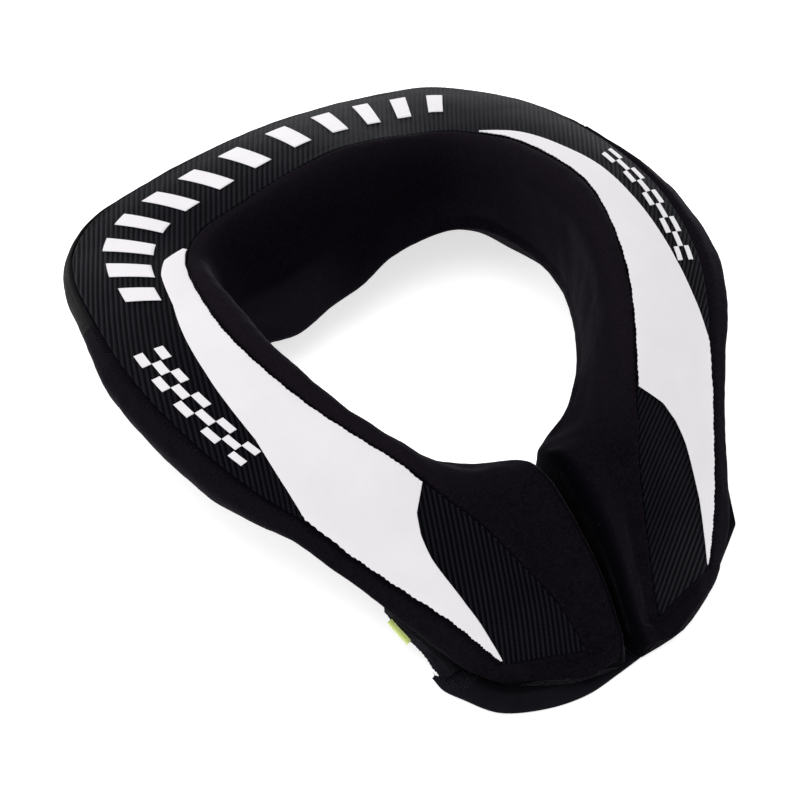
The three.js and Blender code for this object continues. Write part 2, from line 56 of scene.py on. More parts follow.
ROWS = table("""
row          kx    ky     kz     ex     ey     ez     lx    ly   lz     wall  out  lean  foot   fi    fo    rh   rw  rd    bf    ao   bo    eo    uf    uz  sy  sz
back         0     166    23     0      236    -19.5  0     141  -38    22    5    0     FLOOR  30    0.66  0.8  7   7     0.3   1.5  -3.5  -1.5  12    12  0   0
back_1       22    168    17.5   34     237.3  -23.5  17    141  -36    22    5    0     FLOOR  33    0.66  0.8  7   7     0.3   1.5  -3.5  -1.5  13    12  3   4
back_2       42    171    8.5    62     237    -28.5  34    139  -35.5  22    5    0     FLOOR  38    0.66  0.8  7   6     0.32  1.5  -3    -1.5  14    12  5   7.5
back_corner  61    172    1      86     232.5  -31    49    137  -33.5  22    5    0     FLOOR  38    0.64  1    9   5     0.34  1.5  -2    -1.5  14    12  4   6.5
corner_1     73.5  162    1.5    104    218    -30    59.5  133  -32.5  22    5    0     FLOOR  36    0.6   1.5  12  4     0.36  1.5  -1    -1    13.5  12  2   4.5
corner_2     81    146    7      115.5  193    -22    66.5  124  -30    20    5.2  0.2   FLOOR  31    0.52  3.2  16  2     0.36  1    0     -0.5  13    12  0   0
side_1       85.8  124    13     122    162    -12.5  70    108  -29    18.5  6    0.5   -58    25    0.38  3.4  17  1.5   0.36  0.5  0.5   0     12    12  0   0
side_2       88    99     17.5   126.4  127    -6     69    86   -27    21    8.5  1     -50    20    0.3   3.4  16  2     0.36  0.5  0.5   0     10    10  0   0
side_3       84.5  75     17     126    92     -2     62    66   -25    23    9.5  2     -46    17    0.28  2.6  14  2.4   0.36  0.5  0.5   0     8     9   0   0
side_4       77    50     14     119.5  57     -2.5   52    47   -23    23    9.5  3.5   -45    14    0.3   1.8  12  2.4   0.36  0.3  0.3   0.2   5     8   0   0
side_5       67    28.5   10     109.5  32.5   -7.5   40    30   -21    17    8.5  2.5   -45    12    0.36  1.2  10  2     0.38  0    0     0.3   3     7   0   0
front_1      57    10.5   5.5    98     13     -12.8  27    18   -21    12.5  7.3  1.3   -47    9     0.4   1    9   2     0.4   0    -1    0     2     7   0   0
front_2      50.8  0      0.3    89.5   -2.5   -20    13    10   -20.5  10.8  6    0     -50    5     0.44  0.8  9   1.5   0.42  0    -1    0     0.5   7   0   0
lobe_1       45    -10.5  -4.5   83.3   -12.7  -24.5  5.2   0    -13    11    6    0     -55    0     0.5   0.8  9   0.5   0.44  1.2  1.6   1     -1.8  8   0   0
lobe_2       38.1  -22.3  -10    76.3   -24.3  -29    5.4   -16  -3.5   13    6.5  0     SOLE   -3    0.56  0.8  9   -0.8  0.44  2.5  3     1.4   -3    8   0   0
lobe_3       29.6  -40.2  -21.5  64.3   -43.3  -36.5  4.4   -38  -9     16    7.5  0     SOLE   -3    0.74  0.8  8   -1.5  0.44  2.5  2.5   1.2   -2.8  8   0   0
lobe_4       21.8  -58.6  -34    56     -54.7  -46    3.9   -58  -22    12.5  8.5  0     SOLE   -2.6  0.9   0.6  6   -1.5  0.44  1.5  1.5   0.8   -2.2  8   0   0
lobe_end     17.2  -73.6  -50.6  50.6   -61.4  -52.6  3.4   -74  -42    8.4   8.5  0     SOLE   -1.8  1     0.4  4   -1    0.44  1    1     0.5   -1.6  7   0   0
""")

TIP = table("""
row    forward  sink  wall  out  aside
tip_1  3.4      1.6   7     8    0.3
tip_2  6.6      4.6   4.6   6    1.6
tip_3  7.8      7.2   2.4   3.4  3.6
""")

FILM_ROWS = table("""
at    inner  right  left
3.95  0.015  0.03   0.05
4.6   0.02   0.09   0.19
5.2   0.02   0.16   0.25
6.2   0.02   0.26   0.29
7     0.02   0.36   0.37
7.8   0.02   0.45   0.45
9.2   0.02   0.64   0.62
10.2  0.02   0.84   0.82
10.9  0.02   0.975  0.975
12    0.03   0.975  0.975
12.7  0.32   0.975  0.975
13.3  0.47   0.975  0.975
14    0.6    0.975  0.975
15    0.76   0.975  0.975
16    0.87   0.975  0.975
16.8  0.95   0.975  0.975
""")

STRAP_ROWS = table("""
ox     oy     ix   iy
-74.3  -47.4  -42  -47
-73.3  -53.9  -38  -48.5
-68.8  -61.9  -33  -49.5
-59.6  -74.6  -28  -50
-41.8  -82.4  -20  -50
-23.8  -84.8  -10  -48.5
-8.3   -82.6  2    -46
13.2   -77.8  18   -41
36.2   -69.1  36   -34.5
52.2   -61.9  52   -28
66.6   -50.9  72   -20
78.7   -40.9  93   -10
""")

PATCH_ROWS = table("""
ux     uy     uz     dx     dy     dz
-84    -23.8  -37.2  -83.4  -22.8  -39.6
-82.2  -26.8  -39.2  -81.4  -25.2  -43.8
-78.9  -32    -42.6  -79.2  -30    -48.2
-75.6  -35.9  -46.2  -77    -33.8  -51.6
-72    -40.4  -51    -74.6  -38.4  -55.2
-68.5  -45.8  -56    -73    -45    -59.9
-65.2  -51.4  -58.4  -71.6  -51    -60.8
""")

# Direction and pitch of the ribs: phase in cycles as a polynomial of x and y - 80, in hundreds of mm.
RIB_TERMS = {
    "left_lobe": {(1, 0): 46.3, (0, 1): -14.09},
    "right_lobe": {(1, 0): 38.28, (0, 1): -50.75},
    "round": {(0, 1): -23.46, (0, 2): 4.31, (0, 3): -4.02, (0, 4): 1.32, (1, 0): 45.29, (1, 1): -9.15, (1, 2): 5.28, (1, 3): -1.64,
              (2, 0): 1.58, (2, 1): 1.41, (2, 2): -1.07, (3, 0): -0.59, (3, 1): 0.89, (4, 0): -0.8},
}

last = ROWS[-1]
for t in TIP:
    lip = max(last["lz"] - 2 * t["sink"], SOLE + 3.6)
    ROWS.append({**last, "row": t["row"], "ky": last["ky"] - t["forward"], "kz": max(last["kz"] - t["sink"], SOLE + 3.4),
                 "ey": last["ey"] - 0.8 * t["forward"], "ez": max(last["ez"] - t["sink"], SOLE + 3.0), "ex": last["ex"] - 0.5 * t["forward"], "kx": last["kx"] + t["aside"], "lx": last["lx"] + t["aside"],
                 "ly": last["ly"] - 0.9 * t["forward"], "lz": lip, "wall": t["wall"], "out": t["out"], "uz": min(last["uz"], 0.5 * (lip - SOLE))})
NAMES = [name for name in ROWS[0] if name != "row"]
GRID = np.array([[row[name] for name in NAMES] for row in ROWS])
N = len(ROWS) - 1
PANEL_END = [row["row"] for row in ROWS].index("lobe_end")
FLIP = np.array([name in ("kx", "ex", "lx", "sy", "sz", "lean") for name in NAMES])


def sections(u):
    """All sizes of the cross-sections at row positions u, each as a column."""
    u = np.asarray(u, float)
    i = np.clip(np.floor(u), -N, N - 1).astype(int)
    t = (u - i)[:, None]

    def row(k):
        k = np.clip(k, -N, N)
        return np.where(FLIP[None, :] & (k < 0)[:, None], -1.0, 1.0) * GRID[np.abs(k)]

    p0, p1, p2, p3 = row(i - 1), row(i), row(i + 1), row(i + 2)
    v = 0.5 * (2 * p1 + (p2 - p0) * t + (2 * p0 - 5 * p1 + 4 * p2 - p3) * t ** 2 + (3 * p1 - p0 - 3 * p2 + p3) * t ** 3)
    s = {name: v[:, j:j + 1] for j, name in enumerate(NAMES)}
    s["ly"] = s["ly"] + s["sy"]
    s["lz"] = s["lz"] + s["sz"]
    s["out"] = s["out"] + s["lean"]
    s["a"] = np.hypot(s["kx"] - s["lx"], s["ky"] - s["ly"])
    s["b"] = np.hypot(s["ex"] - s["kx"], s["ey"] - s["ky"])
    s["u"] = u[:, None]
    return s


def at(s, d, z):
    d, z = np.broadcast_arrays(d + 0 * s["a"], z + 0 * s["a"])
    inside = d < s["a"]
    x = np.where(inside, s["lx"] + (s["kx"] - s["lx"]) / s["a"] * d, s["kx"] + (s["ex"] - s["kx"]) / s["b"] * (d - s["a"]))
    y = np.where(inside, s["ly"] + (s["ky"] - s["ly"]) / s["a"] * d, s["ky"] + (s["ey"] - s["ky"]) / s["b"] * (d - s["a"]))
    return np.stack([x, y, z], -1)


def top_z(s, t):
    crown = CROWN * np.clip((PANEL_END + 0.5 - np.abs(s["u"])) / 2, 0, 1)
    return s["kz"] + (s["ez"] - s["kz"]) * t + crown * 4 * t * (1 - t)


def top_point(s, t, lift):
    slope = (top_z(s, t + 0.01) - top_z(s, t - 0.01)) / (0.02 * s["b"])
    c = 1 / np.hypot(1, slope)
    return at(s, s["a"] + t * s["b"] - slope * c * lift, top_z(s, t) + c * lift)


def wall_point(s, w, lift):
    return at(s, s["a"] + s["b"] + np.sin(np.pi * (0.04 + 0.88 * w)) * s["out"] + lift, s["ez"] - w * s["wall"])


def lerp(p, q, f):
    return p + (q - p) * f


def outline(s):
    rec = np.where(np.abs(s["u"]) <= PANEL_END + 0.02, PANEL + GAP + 0.15, 0.0)
    band = np.where(np.abs(s["u"]) < SEAM, BAND + GAP + 0.8, 0.0)
    a, b, bf = s["a"], s["b"], s["bf"]
    bottom = s["ez"] - s["wall"]
    fo = a + b * s["fo"]
    mid = lerp(fo, a + b, 0.4)
    rx, rz = a - s["rw"], s["kz"] - s["rd"] - s["lz"]
    size = np.hypot(rx, rz)

    def face(f, o):
        return at(s, rx * f - rz / size * o, s["lz"] + rz * f + rx / size * o)

    pts = [face(0.5 * bf, s["ao"]), face(bf, s["bo"]), face(0.5 + 0.5 * bf, s["eo"]), face(1, 0),
           at(s, a - 0.5 * s["rw"], s["kz"] + s["rh"]), at(s, a - 0.4, s["kz"] + 0.3)]
    pts += [top_point(s, t, -rec) for t in (0.012, 0.25, 0.5, 0.75, 0.988)]
    pts += [wall_point(s, w, -band) for w in (0.04, 0.2, 0.45, 0.75, 1.0)]
    pts += [at(s, mid, lerp(bottom, s["foot"], 0.45)), at(s, fo, s["foot"]), at(s, (fo + np.maximum(s["fi"], 0)) / 2, s["foot"]),
            at(s, s["fi"], s["foot"]), at(s, s["uf"], s["lz"] - s["uz"]), at(s, 0, s["lz"])]
    return np.concatenate(pts, axis=1)


def centripetal(points, counts, closed=True):
    """Centripetal Catmull-Rom along axis 1, with counts[k] samples on segment k."""
    n = points.shape[1]
    if closed:
        pick = lambda k: points[:, k % n]
    else:
        pick = lambda k: points[:, k] if 0 <= k < n else (2 * points[:, 0] - points[:, 1] if k < 0 else 2 * points[:, -1] - points[:, -2])
    parts, place = [], []
    for k, m in enumerate(counts):
        p0, p1, p2, p3 = pick(k - 1), pick(k), pick(k + 1), pick(k + 2)
        d = [np.maximum(np.sqrt(np.linalg.norm(q - p, axis=-1)), 1e-3)[:, None] for p, q in ((p0, p1), (p1, p2), (p2, p3))]
        m1 = ((p1 - p0) / d[0] - (p2 - p0) / (d[0] + d[1]) + (p2 - p1) / d[1]) * d[1]
        m2 = ((p2 - p1) / d[1] - (p3 - p1) / (d[1] + d[2]) + (p3 - p2) / d[2]) * d[1]
        for t in np.arange(m) / m:
            parts.append(p1 + m1 * t + (-3 * p1 + 3 * p2 - 2 * m1 - m2) * t ** 2 + (2 * p1 - 2 * p2 + m1 + m2) * t ** 3)
            place.append(k + t)
    if not closed:
        parts.append(points[:, -1])
        place.append(n - 1.0)
    return np.stack(parts, 1), np.array(place)


rng = np.random.default_rng(11)


def waves(size, count=14):
    """A smooth bumpy field in space, about -1 to 1, with bumps of this size in mm."""
    k = rng.normal(size=(count, 3))
    k *= (2 * np.pi / size / np.linalg.norm(k, axis=1) * rng.uniform(0.7, 1.4, count))[:, None]
    phase = rng.uniform(0, 2 * np.pi, count)
    return lambda p: np.sin(p @ k.T + phase).sum(-1) / math.sqrt(count)


def normals(rings):
    along = np.gradient(rings, axis=0)
    around = np.roll(rings, -1, 1) - np.roll(rings, 1, 1)
    n = np.cross(around, along)
    return n / np.maximum(np.linalg.norm(n, axis=-1, keepdims=True), 1e-9)


def piece(name, verts, faces, smooth=True):
    faces = np.asarray(faces, np.int64)
    v = np.asarray(verts, float)
    tri = faces[:, :3]
    if np.einsum("ij,ij->", v[tri[:, 0]], np.cross(v[tri[:, 1]], v[tri[:, 2]])) < 0:
        faces = faces[:, ::-1]
    mesh = bpy.data.meshes.new(name)
    mesh.from_pydata(((v - CENTRE) / 1000).tolist(), [], faces.tolist())
    mesh.validate()
    mesh.polygons.foreach_set("use_smooth", np.full(len(mesh.polygons), smooth))
    mesh.update()
    obj = bpy.data.objects.new(name, mesh)
    bpy.context.scene.collection.objects.link(obj)
    return obj


def values(obj, name, data):
    layer = obj.data.attributes.new(name, "FLOAT", "POINT")
    data = np.asarray(data, float).ravel()
    full = np.zeros(len(obj.data.vertices))
    full[:len(data)] = data
    layer.data.foreach_set("value", full)


def ring_faces(count, m, start=0):
    r, j = np.meshgrid(np.arange(count - 1), np.arange(m), indexing="ij")
    p, q = start + r * m + j, start + r * m + (j + 1) % m
    return np.stack([p, q, q + m, p + m], -1).reshape(-1, 4)


def tube(name, rings, caps="centre"):
    """Closed skin through rings (rings, points, 3). caps: centre, or strip for a flat plate of which half the points are below."""
    count, m = rings.shape[:2]
    verts = rings.reshape(-1, 3)
    faces = ring_faces(count, m).tolist()
    if caps == "centre":
        extra = []
        for r, flip in ((0, True), (count - 1, False)):
            c = len(verts) + len(extra)
            extra.append(rings[r].mean(0))
            for j in range(m):
                p, q = r * m + j, r * m + (j + 1) % m
                faces.append([q, p, c] if flip else [p, q, c])
        return piece_mixed(name, np.vstack([verts, extra]), faces)
    for r, flip in ((0, True), (count - 1, False)):
        base = r * m
        for j in range(m // 2 - 1):
            quad = [base + j, base + j + 1, base + m - 2 - j, base + m - 1 - j]
            faces.append(quad[::-1] if flip else quad)
    return piece_mixed(name, verts, faces)


def piece_mixed(name, verts, faces):
    v = np.asarray(verts, float)
    volume = sum(np.dot(v[f[0]], np.cross(v[f[1]], v[f[2]])) for f in faces[::7])
    big = np.array([f[:3] for f in faces])
    volume = np.einsum("ij,ij->", v[big[:, 0]], np.cross(v[big[:, 1]], v[big[:, 2]]))
    quads = np.array([[f[0], f[2], f[3]] if len(f) == 4 else [f[0], f[0], f[0]] for f in faces])
    volume += np.einsum("ij,ij->", v[quads[:, 0]], np.cross(v[quads[:, 1]], v[quads[:, 2]]))
    if volume < 0:
        faces = [f[::-1] for f in faces]
    mesh = bpy.data.meshes.new(name)
    mesh.from_pydata(((v - CENTRE) / 1000).tolist(), [], faces)
    mesh.polygons.foreach_set("use_smooth", np.ones(len(mesh.polygons), bool))
    mesh.update()
    obj = bpy.data.objects.new(name, mesh)
    bpy.context.scene.collection.objects.link(obj)
    return obj


def sheet_rings(top, bottom):
    return np.concatenate([top, bottom[:, ::-1]], axis=1)


# ---- stations, closer together where the ribs run across them
def stations(first, last_, spacing):
    u = np.linspace(first, last_, 4000)
    s = sections(u)
    mid = top_point(s, 0.5, 0)[:, 0]
    step = np.linalg.norm(np.diff(mid, axis=0), axis=1)
    step = np.maximum(step, np.diff(u) * 6) / spacing(0.5 * (u[1:] + u[:-1]))
    run = np.concatenate([[0], np.cumsum(step)])
    return np.interp(np.linspace(0, run[-1], int(run[-1]) + 2), run, u)


def arc(s):
    p = top_point(s, 0.0, 0)[:, 0]
    return np.concatenate([[0], np.cumsum(np.linalg.norm(np.diff(p, axis=0), axis=1))])


def smoothstep(x, lo, hi):
    t = np.clip((x - lo) / (hi - lo), 0, 1)
    return t * t * (3 - 2 * t)


# ---- foam body under fleece
def make_body():
    inner = stations(-N, N, lambda u: np.where(np.abs(u) > PANEL_END - 1, 1.25, 1.75))
    us = np.sort(np.concatenate([inner, [side * (place + d) for side in (-1, 1) for place, d in
                                 ((PANEL_END + 0.02, -0.012), (PANEL_END + 0.02, 0.012), (SEAM, -0.012), (SEAM, 0.012))]]))
    s = sections(us)
    counts = [10, 10, 10, 9, 9, 6, 4, 3, 3, 3, 5, 8, 9, 9, 9, 8, 7, 4, 4, 6, 8, 8]
    rings, place = centripetal(outline(s), counts)
    n = normals(rings)
    # skin relief: soft hollows everywhere, short puckers running down from the sewn crest, drag lines at the back corners
    q = rings.reshape(-1, 3)
    soft, dent, fine = waves(38.0), waves(15.0), waves(6.0)
    relief = (0.20 * soft(q) + 0.14 * dent(q) + 0.05 * fine(q)).reshape(rings.shape[:2])
    near_crest = np.exp(-((place - 3.9) / 0.9) ** 2)[None, :] * (place < 5)[None, :]
    run = arc(s)
    pucker = np.sin(run / 7.5 * 2 * np.pi + 1.3 * np.sin(run / 31)) * 0.5 + np.sin(run / 11.3 * 2 * np.pi) * 0.5
    relief = relief + 0.08 * near_crest * pucker[:, None]
    corner = np.exp(-((np.abs(us) - 3.6) / 0.8) ** 2)[:, None] * np.exp(-((place - 1.6) / 1.1) ** 2)[None, :]
    relief = relief + 0.5 * corner * np.sin(rings[:, :, 2] / 6.5 + us[:, None] * 2.2)
    at_back = np.exp(-((us + 0.7) / 3.9) ** 6)[:, None]
    relief = relief + at_back * (1 - smoothstep(us, -1.7, 0.4)[:, None]) * (-1.3 * np.exp(-((place - 1.4) / 0.32) ** 2) + 0.9 * np.exp(-((place - 0.5) / 0.45) ** 2))[None, :]
    # beside the slit the right lobe falls away into a wider valley
    from_lip = np.where(place > 12, place - 21, place + 1)      # 0 at the lip, 1 and 2 up the inner face, below 0 under the lip
    valley = np.where(from_lip < 0, smoothstep(from_lip, -1.0, 0.0), np.exp(-(from_lip / 1.4) ** 2))
    relief = relief - 0.6 * smoothstep(us, 12.8, 15.5)[:, None] * (1 - smoothstep(us, 17.0, 19.0)[:, None]) * valley[None, :]
    roll = (place >= 9.8)[None, :] & (place < 16)[None, :]
    relief = relief + 0.06 * np.where(roll, 1.0, 0.0) * np.sin(run / 17 * 2 * np.pi)[:, None]
    keep = smoothstep(rings[:, :, 2], FLOOR + 2, FLOOR + 9) * np.where(((place > 5.2) & (place < 10.0))[None, :] & (np.abs(us) < PANEL_END + 0.1)[:, None], 0.0, 1.0)
    keep = keep * np.where((np.abs(us) < SEAM + 0.1)[:, None] & roll, 0.0, 1.0)
    rings = rings + n * (relief * keep)[:, :, None]
    lowest = np.maximum(s["foot"], np.where(np.abs(s["u"]) > 11, SOLE, FLOOR))
    rings[:, :, 2] = np.maximum(rings[:, :, 2], lowest)
    obj = tube("foam_collar", rings)
    rim = 0.55 * np.exp(-((place - 4.8) / 0.3) ** 2)[None, :] * np.ones((len(us), 1))
    values(obj, "rim", rim)
    # borders where the fleece is sewn down: a stitch phase along the run, strongest at the sewn line
    edge_run = np.concatenate([[0], np.cumsum(np.linalg.norm(np.diff(top_point(s, 1.0, 0)[:, 0], axis=0), axis=1))])
    values(obj, "run", np.where(place[None, :] > 8, edge_run[:, None], run[:, None]) / STITCH)
    back = np.exp(-(us / 4.4) ** 4)[:, None]
    lip_fades = 1 - smoothstep(us, -1.7, 0.1)[:, None]
    # painted shade: the fleece colour is darkened in the hollow of the back wall, the crease under the back lip, the
    # slit valley between the lobes and the crease where the lobes lie over the strap
    painted_shade = 0.30 * back * np.exp(-((place - 2.1) / 0.8) ** 2)[None, :] + 0.35 * lip_fades * np.exp(-((place - 1.35) / 0.22) ** 2)[None, :] * back
    painted_shade = painted_shade + 0.3 * back * (1 - lip_fades) * np.exp(-((place - 0.8) / 0.9) ** 2)[None, :] * np.exp(-((us - 0.3) / 1.6) ** 2)[:, None]
    slit_right, slit_left = smoothstep(us, 12.2, 13.4)[:, None], smoothstep(-us, 12.2, 13.4)[:, None]
    deep = (0.45 + 0.6 * smoothstep(us, 13.0, 16.5))[:, None]
    q_ = from_lip[None, :]
    painted_shade = painted_shade + slit_right * np.where(q_ < 0, smoothstep(q_, -2.4, -1.2), 0.95 * np.exp(-(q_ / deep) ** 2)) + slit_left * np.where(q_ < 0, smoothstep(q_, -2.4, -1.2), 0.9 * np.exp(-(q_ / 0.24) ** 2))
    painted_shade = painted_shade + 0.95 * (smoothstep(place, 12.9, 14.2) * (1 - smoothstep(place, 19.4, 20.4)))[None, :] * smoothstep(np.abs(us), 9.5, 11.0)[:, None]   # painted shade in the crease over the strap
    # painted light: the fleece colour is lightened on the upper back wall and the lip, along the crest at the sides,
    # and on the outer wall of the lobes, more on the right than on the left
    painted_light = back * (0.65 * np.exp(-((place - 3.9) / 0.9) ** 2)[None, :] + lip_fades * np.where(from_lip < 0, smoothstep(from_lip, -1.2, -0.2), 1 - smoothstep(from_lip, 2.15, 2.5))[None, :])
    side = (np.exp(-((np.abs(us) - 8.0) / 4.7) ** 6)[:, None]) * (place < 5)[None, :]
    painted_light = painted_light + 0.66 * side + np.where(us > 0, 0.5, 0.20)[:, None] * (place > 9)[None, :] * (place < 17)[None, :] * (np.abs(us) > SEAM)[:, None]
    values(obj, "painted_shade", np.clip(painted_shade, 0, 1))
    values(obj, "painted_light", np.clip(painted_light, 0, 1))
    border = np.exp(-((place - 5.0) / 0.22) ** 2) + np.exp(-((place - 10.9) / 0.5) ** 2)
    values(obj, "border", np.broadcast_to(border[None, :], rings.shape[:2]))
    return obj


def rib_phase(u, p):
    x, y = p[..., 0] / 100, (p[..., 1] - 80) / 100
    area = {name: sum(c * x ** i * y ** j for (i, j), c in terms.items()) for name, terms in RIB_TERMS.items()}
    left, right = u < -11.4, u > 11.4
    return np.where(left, area["left_lobe"], np.where(right, area["right_lobe"], area["round"]))


def make_panel():
    us = stations(-PANEL_END, PANEL_END, lambda u: np.where(np.abs(u) < 5.2, 0.58, np.where(np.abs(u) > 11.3, 0.62, 0.98)))
    s = sections(us)
    ts = np.concatenate([[0.014, 0.018, 0.026], np.linspace(0.036, 0.964, 78), [0.974, 0.982, 0.986]])
    flat = top_point(s, ts[None, :], 0.0)
    phase = rib_phase(s["u"], flat)
    edge = np.minimum(np.minimum(ts - 0.014, 0.986 - ts)[None, :] * s["b"], (PANEL_END - np.abs(s["u"])) * 15)
    rise = 0.5 + 0.5 * np.cos(2 * np.pi * phase)
    lift = -RIB_DEPTH * (1 - rise ** 0.8) * smoothstep(edge, 0.2, 1.6) - 0.5 * (1 - smoothstep(edge, -0.1, 0.9))
    lift = lift - 0.12 * np.clip(waves(24.0)(flat.reshape(-1, 3)).reshape(flat.shape[:2]) + 0.6, 0, 2) * smoothstep(edge, 0.5, 4)
    top = top_point(s, ts[None, :], lift)
    low = top_point(s, np.array([0.014, 0.25, 0.5, 0.75, 0.986])[None, :], -PANEL)
    rings = sheet_rings(top, low)
    obj = tube("ribbed_top", rings)
    pad = np.zeros((len(us), low.shape[1]))
    values(obj, "rib", np.concatenate([phase, pad], 1))
    values(obj, "twist", np.concatenate([(0.5 * flat[..., 0] + 0.87 * flat[..., 1]) / 1.15, pad], 1))
    return obj


def film_edges(u, side):
    at_ = [r["at"] for r in FILM_ROWS]
    return np.interp(u, at_, [r["inner"] for r in FILM_ROWS]), np.interp(u, at_, [r["right" if side > 0 else "left"] for r in FILM_ROWS])


def make_film(side):
    us = stations(FILM_ROWS[0]["at"], FILM_ROWS[-1]["at"], lambda u: np.full(np.shape(u), 0.5))
    s = sections(side * us)
    inner, outer = film_edges(us, side)
    run = arc(s)
    # the sewn borders are scalloped by the stitches, the cut edges over the ribs are clean
    scallop = (0.32 * (np.abs(np.sin(np.pi * run / STITCH)) - 0.6) + 0.14 * np.sin(run / 1.7)) / s["b"][:, 0]
    t0 = inner + np.where(inner < 0.04, 1.0, 0.0) * scallop
    t1 = outer - smoothstep(outer, 0.93, 0.97) * scallop
    t0, t1 = np.minimum(t0, t1 - 0.004), t1
    f = np.concatenate([[0, 0.012, 0.03], np.linspace(0.07, 0.93, 11), [0.97, 0.988, 1]])
    t = t0[:, None] + (t1 - t0)[:, None] * f[None, :]
    dip = 0.28 * (np.abs(f - 0.5) * 2) ** 14
    base = top_point(s, t, 0.0)
    ghost = 0.05 * np.cos(2 * np.pi * rib_phase(s["u"], base))
    lift = GAP + 0.15 + FILM - dip[None, :] - 0.06 + ghost * 0.5 + 0.05 * waves(30.0)(base.reshape(-1, 3)).reshape(base.shape[:2])
    lift = np.minimum(lift, GAP + 0.15 + FILM)
    low = top_point(s, lerp(t0[:, None], t1[:, None], np.array([0, 0.33, 0.66, 1.0])[None, :]), GAP + 0.15)
    obj = tube("smooth_swoosh_" + ("right" if side > 0 else "left"), sheet_rings(top_point(s, t, lift), low))
    values(obj, "rib", np.concatenate([rib_phase(s["u"], base), np.zeros((len(us), 4))], 1))
    return obj


def make_band():
    us = stations(-SEAM + 0.004, SEAM - 0.004, lambda u: np.full(np.shape(u), 0.9))
    s = sections(us)
    ws = np.concatenate([[0.06, 0.075, 0.1], np.linspace(0.14, 0.9, 20), [0.93, 0.955, 0.97]])
    flat = wall_point(s, ws[None, :], 0.0)
    edge = np.minimum(ws - 0.06, 0.97 - ws)[None, :] * s["wall"]
    ends = (SEAM - 0.004 - np.abs(s["u"])) * 30
    lift = -0.55 * (1 - smoothstep(edge, -0.1, 0.8)) - 0.4 * (1 - smoothstep(ends, -0.1, 0.8))
    lift = lift - 0.18 * np.exp(-((edge - 2.4) / 0.35) ** 2)           # sewn line near the border
    lift = lift - 0.25 * np.exp(-((ends - 3.2) / 0.5) ** 2)            # and beside the side seams
    q = flat.reshape(-1, 3)
    lift = lift - 0.12 + 0.12 * waves(20.0)(q).reshape(flat.shape[:2]) + 0.06 * waves(7.0)(q).reshape(flat.shape[:2])
    lift = np.minimum(lift, 0.15)
    low = wall_point(s, np.array([0.06, 0.35, 0.65, 0.97])[None, :], -BAND)
    return tube("rear_wall_cloth", sheet_rings(wall_point(s, ws[None, :], lift), low))


